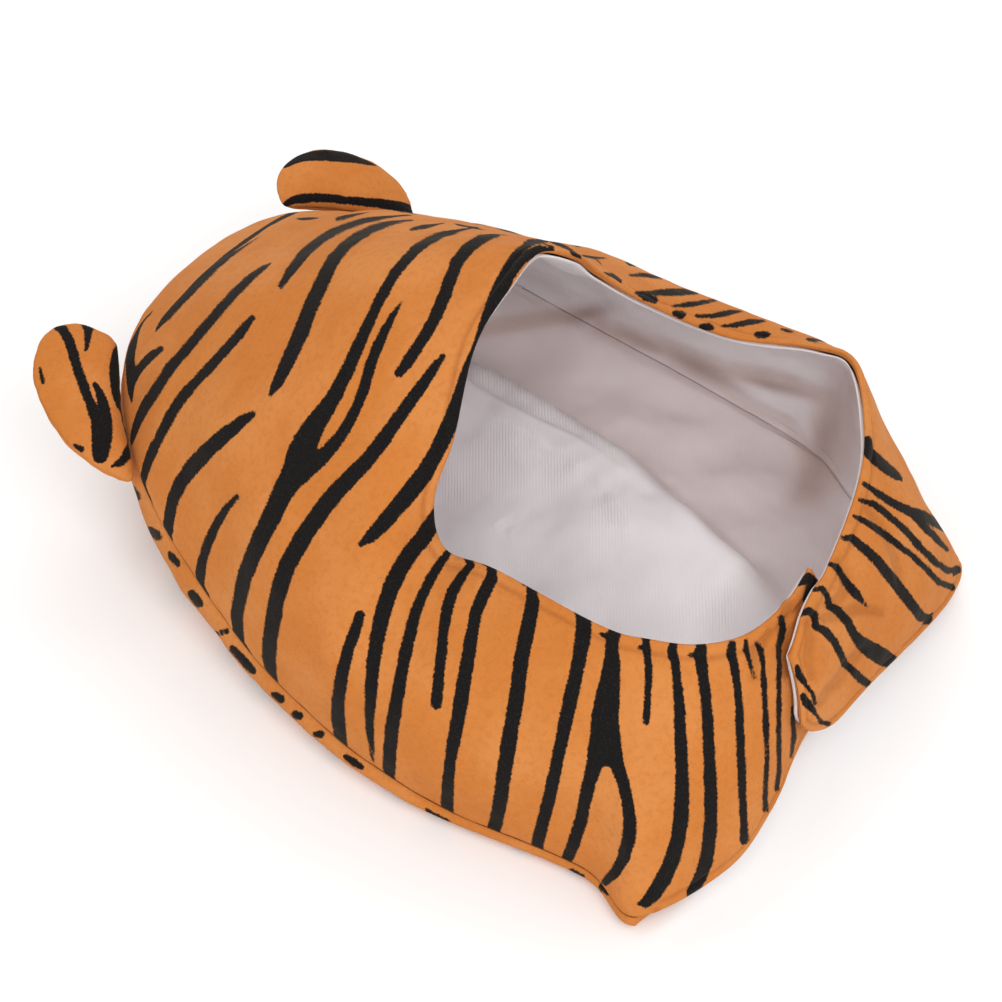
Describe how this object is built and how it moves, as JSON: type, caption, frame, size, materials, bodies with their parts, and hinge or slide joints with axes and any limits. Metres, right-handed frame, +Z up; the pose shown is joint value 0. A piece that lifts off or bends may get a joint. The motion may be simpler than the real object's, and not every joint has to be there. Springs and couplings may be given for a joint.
{
  "type": "plush animal hood hat",
  "caption": "Striped plush animal hood lying on its back, with round stuffed ears, an open face hole, overlapping chin flaps and a smooth loose lining.",
  "frame": {"origin": "on the floor under the head hollow, on the flat bottom of the back panel", "axes": "+X towards the wearer's left, +Y towards the crown, +Z up, out of the face opening"},
  "size_m": [0.2532, 0.3383, 0.1664],
  "materials": {
    "striped_plush": "short soft pile with printed stripes",
    "lining": "smooth light knit",
    "fastener": "matt woven hook and loop"
  },
  "bodies": {
    "root": {"front_panel": "striped_plush", "back_panel": "striped_plush", "front_lining": "lining", "back_lining": "lining", "right_ear": "striped_plush", "left_ear": "striped_plush", "chin_fastener": "fastener"}
  },
  "joints": []
}
